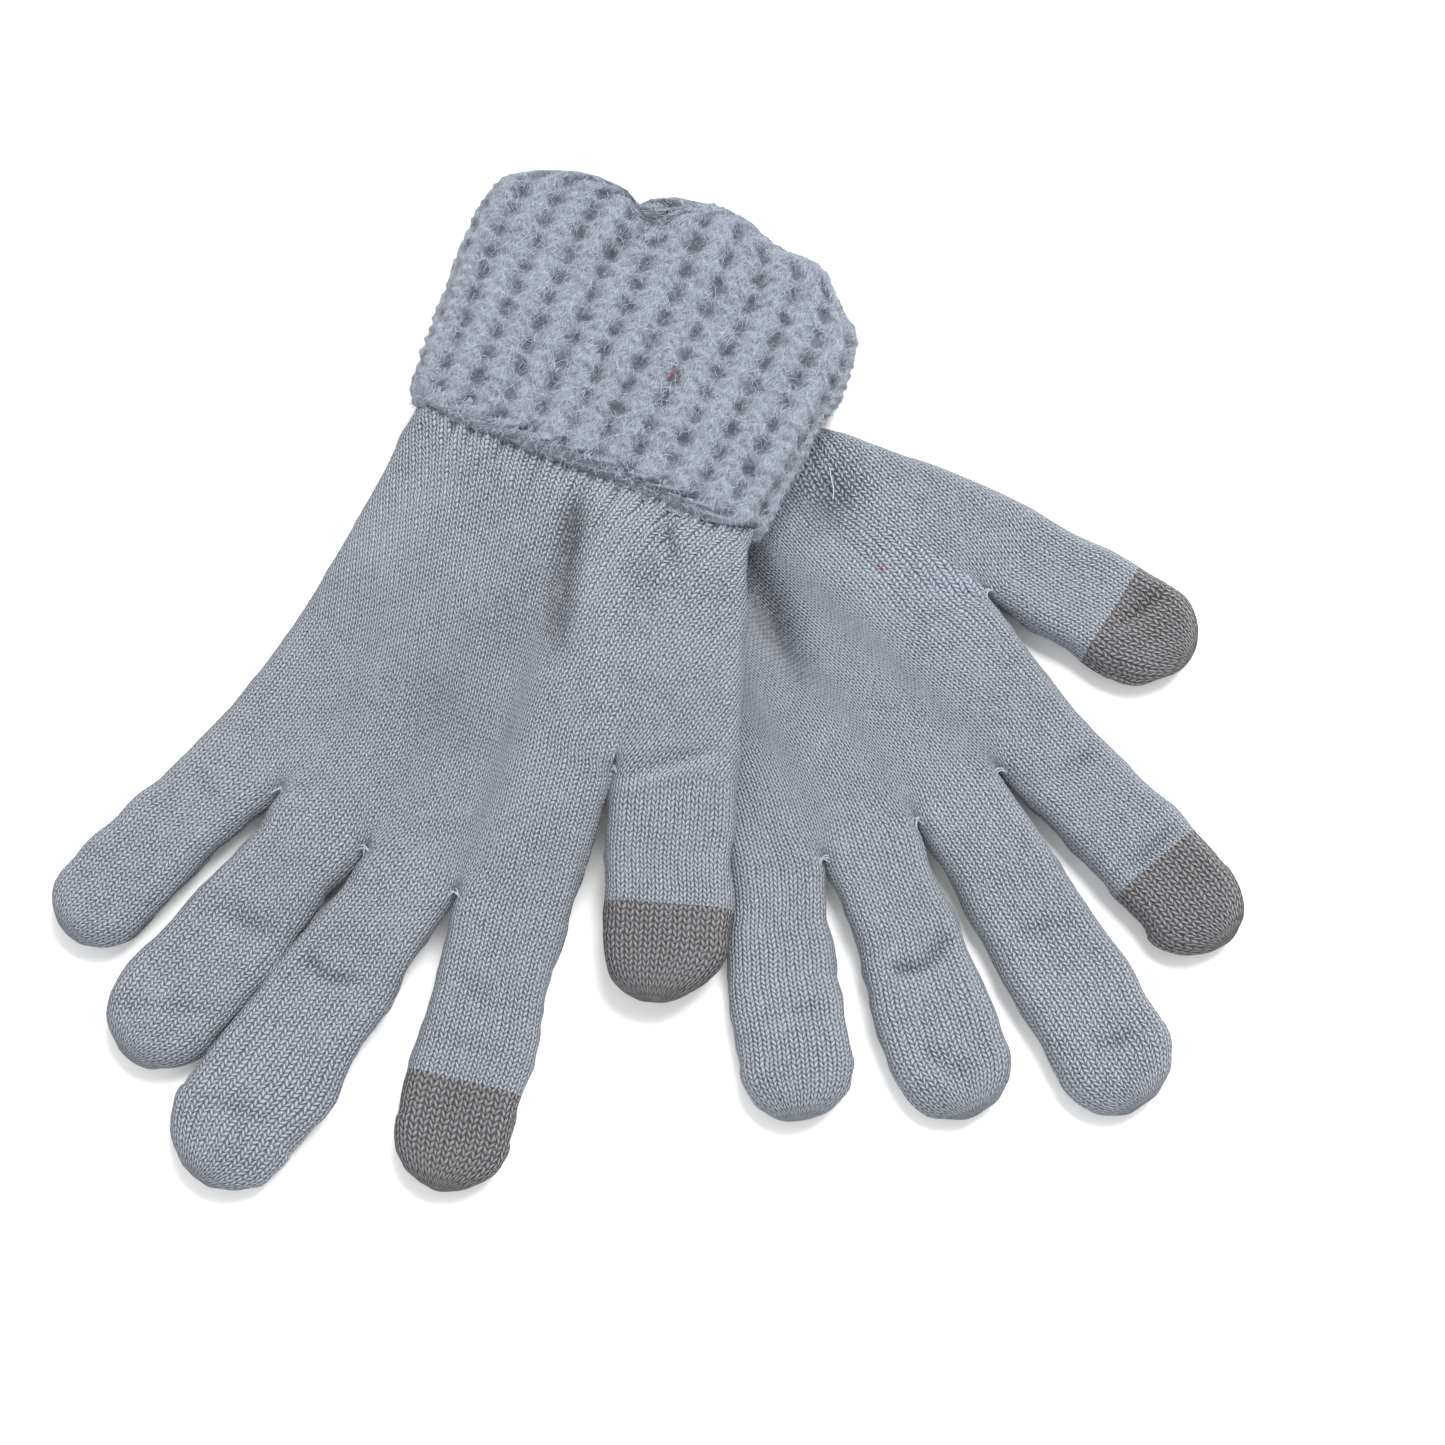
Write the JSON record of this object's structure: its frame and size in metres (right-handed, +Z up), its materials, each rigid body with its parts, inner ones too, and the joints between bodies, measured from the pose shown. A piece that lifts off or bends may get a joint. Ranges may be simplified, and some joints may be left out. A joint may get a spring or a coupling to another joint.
{
  "type": "touchscreen gloves",
  "caption": "Knitted touchscreen gloves laid crosswise, with conductive index and thumb tips and a turned-back chunky mesh cuff.",
  "frame": {"origin": "on the table, under the middle of the pair's bounding box", "axes": "+Z up from the table the gloves lie on; the fingers of both gloves point towards -Y and the cuffs towards +Y; the upper glove lies on the -X side"},
  "size_m": [0.2486, 0.2276, 0.0266],
  "materials": {
    "fine_knit": "fine stockinette knit, soft and matt, pale blue-grey",
    "mesh_knit": "chunky brushed tuck knit, fuzzy, paler blue-grey",
    "rib_knit": "elastic rib knit, matt, blue-grey",
    "touch_yarn": "conductive yarn knit, matt, dark taupe-grey",
    "linking_thread": "linked edge and closing yarn, matt, pale blue-grey",
    "elastic": "covered elastic thread, matt, pale grey"
  },
  "bodies": {
    "lower_hand": {"lower_palm": "fine_knit", "lower_wrist_rib": "rib_knit", "lower_wrist_elastic": "elastic", "lower_linking_seam": "linking_thread", "lower_cuff_inner": "mesh_knit", "lower_cuff_turnback": "mesh_knit", "lower_crotch_stitches": "linking_thread"},
    "lower_little": {"lower_little_stall": "fine_knit"},
    "lower_ring": {"lower_ring_stall": "fine_knit"},
    "lower_middle": {"lower_middle_stall": "fine_knit"},
    "lower_index": {"lower_index_stall": "fine_knit", "lower_index_touch_tip": "touch_yarn"},
    "lower_thumb": {"lower_thumb_stall": "fine_knit", "lower_thumb_touch_tip": "touch_yarn"},
    "upper_hand": {"upper_palm": "fine_knit", "upper_wrist_rib": "rib_knit", "upper_wrist_elastic": "elastic", "upper_linking_seam": "linking_thread", "upper_cuff_inner": "mesh_knit", "upper_cuff_turnback": "mesh_knit", "upper_crotch_stitches": "linking_thread"},
    "upper_little": {"upper_little_stall": "fine_knit"},
    "upper_ring": {"upper_ring_stall": "fine_knit"},
    "upper_middle": {"upper_middle_stall": "fine_knit"},
    "upper_index": {"upper_index_stall": "fine_knit", "upper_index_touch_tip": "touch_yarn"},
    "upper_thumb": {"upper_thumb_stall": "fine_knit", "upper_thumb_touch_tip": "touch_yarn"}
  },
  "joints": [
    {"name": "lower_little_fold", "type": "hinge", "parent": "lower_hand", "child": "lower_little", "pos_m": [0.02636, -0.04747, 0.0086], "axis": [-0.9954, -0.0958, 0], "range_deg": [0, 55]},
    {"name": "lower_ring_fold", "type": "hinge", "parent": "lower_hand", "child": "lower_ring", "pos_m": [0.04742, -0.04156, 0.0086], "axis": [-0.9483, -0.3173, 0], "range_deg": [0, 80]},
    {"name": "lower_middle_fold", "type": "hinge", "parent": "lower_hand", "child": "lower_middle", "pos_m": [0.06601, -0.03145, 0.0086], "axis": [-0.8746, -0.4848, 0], "range_deg": [0, 55]},
    {"name": "lower_index_fold", "type": "hinge", "parent": "lower_hand", "child": "lower_index", "pos_m": [0.08354, -0.0179, 0.0086], "axis": [-0.7604, -0.6494, 0], "range_deg": [0, 80]},
    {"name": "lower_thumb_fold", "type": "hinge", "parent": "lower_hand", "child": "lower_thumb", "pos_m": [0.08037, 0.02442, 0.00979], "axis": [-0.5299, -0.848, 0], "range_deg": [0, 75]},
    {"name": "upper_little_fold", "type": "hinge", "parent": "upper_hand", "child": "upper_little", "pos_m": [-0.08792, -0.02458, 0.01277], "axis": [-0.7169, 0.6972, 0], "range_deg": [0, 55]},
    {"name": "upper_ring_fold", "type": "hinge", "parent": "upper_hand", "child": "upper_ring", "pos_m": [-0.06927, -0.03857, 0.01238], "axis": [-0.7859, 0.6184, 0], "range_deg": [0, 80]},
    {"name": "upper_middle_fold", "type": "hinge", "parent": "upper_hand", "child": "upper_middle", "pos_m": [-0.0506, -0.0497, 0.01199], "axis": [-0.8368, 0.5476, 0], "range_deg": [0, 55]},
    {"name": "upper_index_fold", "type": "hinge", "parent": "upper_hand", "child": "upper_index", "pos_m": [-0.02823, -0.05655, 0.01238], "axis": [-0.9694, 0.2453, 0], "range_deg": [0, 80]},
    {"name": "upper_thumb_fold", "type": "hinge", "parent": "upper_hand", "child": "upper_thumb", "pos_m": [0.00531, -0.03027, 0.01852], "axis": [-0.9973, 0.0732, 0], "range_deg": [0, 75]},
    {"name": "upper_glove_lift", "type": "slide", "parent": "lower_hand", "child": "upper_hand", "axis": [0, 0, 1], "range_m": [0, 0.12]}
  ]
}
